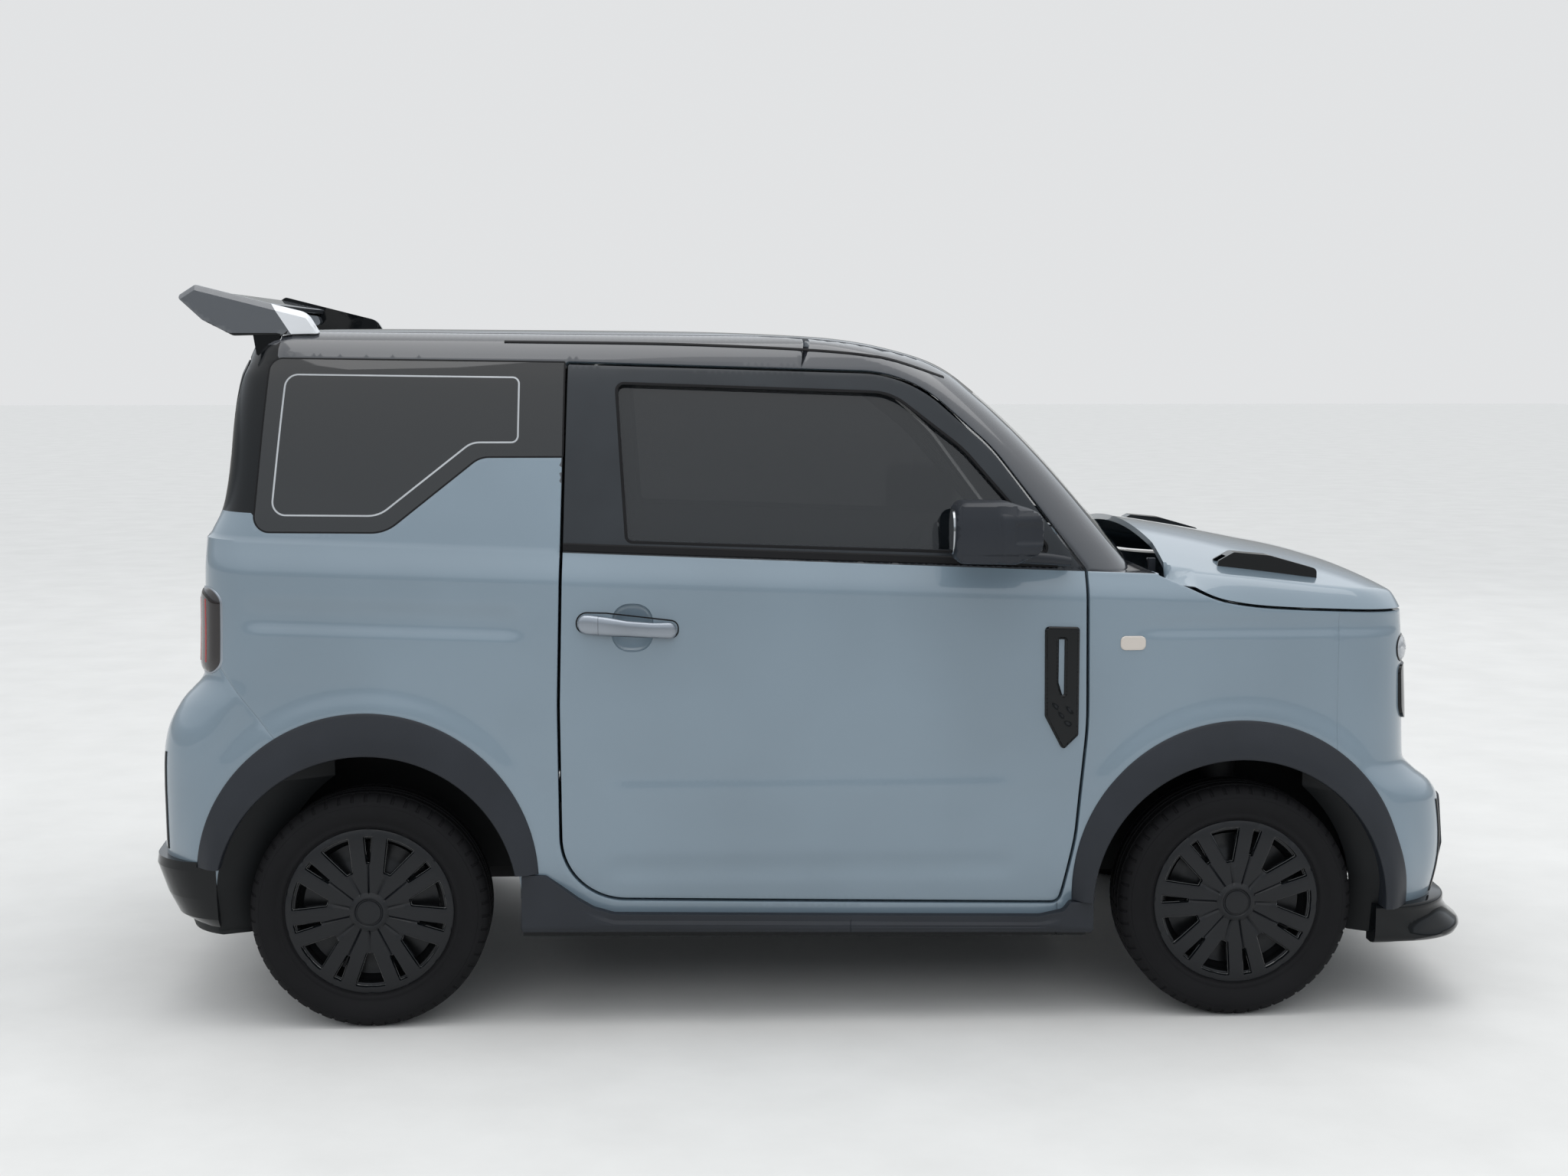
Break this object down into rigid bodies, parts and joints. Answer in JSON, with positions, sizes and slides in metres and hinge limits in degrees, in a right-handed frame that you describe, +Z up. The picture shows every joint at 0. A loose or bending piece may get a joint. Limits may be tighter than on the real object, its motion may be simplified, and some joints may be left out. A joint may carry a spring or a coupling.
{
  "type": "city car",
  "caption": "Small three-door city car with opening doors, bonnet and tailgate, steered front wheels, a glazed cabin with seats, wheel-arch cladding and a roof wing.",
  "frame": {"origin": "on the ground, below the middle of the car's length and width", "axes": "+X forwards, +Y to the car's left, +Z up"},
  "size_m": [3.15, 1.776, 1.7081],
  "materials": {
    "body_paint": "gloss",
    "roof_paint": "gloss",
    "dark_glass": "tinted",
    "clear_glass": "clear",
    "satin_plastic": "satin",
    "gloss_black": "gloss",
    "wing_grey": "satin",
    "clear_lens": "clear",
    "dark_lens": "tinted",
    "steel": "matt",
    "tyre": "matt",
    "wheel_black": "gloss",
    "dark_trim": "grained",
    "seat_cloth": "woven"
  },
  "bodies": {
    "body": {"arch_liners_front": "satin_plastic", "arch_liners_rear": "satin_plastic", "battery_pack": "steel", "bulkhead": "steel", "cowl_panel": "satin_plastic", "dashboard": "dark_trim", "drive_unit": "steel", "fender_left": "body_paint", "fender_right": "body_paint", "floor_pan": "steel", "front_bumper": "body_paint", "front_lip": "gloss_black", "front_seats": "seat_cloth", "front_structure": "steel", "headlamps": "clear_lens", "lower_grille": "satin_plastic", "nose_band": "gloss_black", "quarter_glasses": "dark_glass", "rear_axle": "steel", "rear_bench": "seat_cloth", "rear_bumper": "body_paint", "rear_skirt": "gloss_black", "roof_panel": "roof_paint", "roof_wing": "wing_grey", "side_frame_left": "body_paint", "side_frame_right": "body_paint", "side_skirts": "satin_plastic", "tail_lamps": "dark_lens", "wheel_arch_flares": "satin_plastic", "windscreen": "clear_glass"},
    "door_left": {"door_left": "body_paint", "door_glass_left": "dark_glass", "door_mirror_left": "satin_plastic", "door_fittings_left": "gloss_black"},
    "door_right": {"door_right": "body_paint", "door_glass_right": "dark_glass", "door_mirror_right": "satin_plastic", "door_fittings_right": "gloss_black"},
    "bonnet": {"bonnet": "body_paint", "bonnet_scoops": "gloss_black"},
    "tailgate": {"tailgate": "body_paint", "tailgate_glass": "dark_glass"},
    "knuckle_left": {"knuckle_left": "steel"},
    "knuckle_right": {"knuckle_right": "steel"},
    "steering_wheel": {"steering_wheel": "dark_trim"},
    "wheel_front_left": {"tyre_front_left": "tyre", "wheel_front_left": "wheel_black"},
    "wheel_front_right": {"tyre_front_right": "tyre", "wheel_front_right": "wheel_black"},
    "wheel_rear_left": {"tyre_rear_left": "tyre", "wheel_rear_left": "wheel_black"},
    "wheel_rear_right": {"tyre_rear_right": "tyre", "wheel_rear_right": "wheel_black"}
  },
  "joints": [
    {"name": "door_left_hinge", "type": "hinge", "parent": "body", "child": "door_left", "pos_m": [0.555, 0.729, 0.7], "axis": [0, 0, -1], "range_deg": [0, 65]},
    {"name": "door_right_hinge", "type": "hinge", "parent": "body", "child": "door_right", "pos_m": [0.555, -0.729, 0.7], "axis": [0, 0, 1], "range_deg": [0, 65]},
    {"name": "bonnet_hinge", "type": "hinge", "parent": "body", "child": "bonnet", "pos_m": [0.8, 0, 1.06], "axis": [0, -1, 0], "range_deg": [0, 50]},
    {"name": "tailgate_hinge", "type": "hinge", "parent": "body", "child": "tailgate", "pos_m": [-1.332, 0, 1.545], "axis": [0, 1, 0], "range_deg": [0, 80]},
    {"name": "steer_left", "type": "hinge", "parent": "body", "child": "knuckle_left", "pos_m": [0.9745, 0.6, 0.185], "axis": [0, -0.2079, 0.9781], "range_deg": [-32, 32]},
    {"name": "steer_right", "type": "hinge", "parent": "body", "child": "knuckle_right", "pos_m": [0.9745, -0.6, 0.185], "axis": [0, 0.2079, 0.9781], "range_deg": [-32, 32]},
    {"name": "steering_wheel_turn", "type": "hinge", "parent": "body", "child": "steering_wheel", "pos_m": [0.28, 0.33, 0.905], "axis": [-0.9063, 0, 0.4226], "range_deg": [-480, 480]},
    {"name": "wheel_front_left_spin", "type": "hinge", "parent": "knuckle_left", "child": "wheel_front_left", "pos_m": [0.9745, 0.6595, 0.275], "axis": [0, 1, 0], "continuous": true},
    {"name": "wheel_front_right_spin", "type": "hinge", "parent": "knuckle_right", "child": "wheel_front_right", "pos_m": [0.9745, -0.6595, 0.275], "axis": [0, 1, 0], "continuous": true},
    {"name": "wheel_rear_left_spin", "type": "hinge", "parent": "body", "child": "wheel_rear_left", "pos_m": [-1.0405, 0.6595, 0.275], "axis": [0, 1, 0], "continuous": true},
    {"name": "wheel_rear_right_spin", "type": "hinge", "parent": "body", "child": "wheel_rear_right", "pos_m": [-1.0405, -0.6595, 0.275], "axis": [0, 1, 0], "continuous": true}
  ],
  "couplings": [
    {"joint": "steer_right", "follows": "steer_left", "ratio": 1},
    {"joint": "steering_wheel_turn", "follows": "steer_left", "ratio": 15}
  ]
}
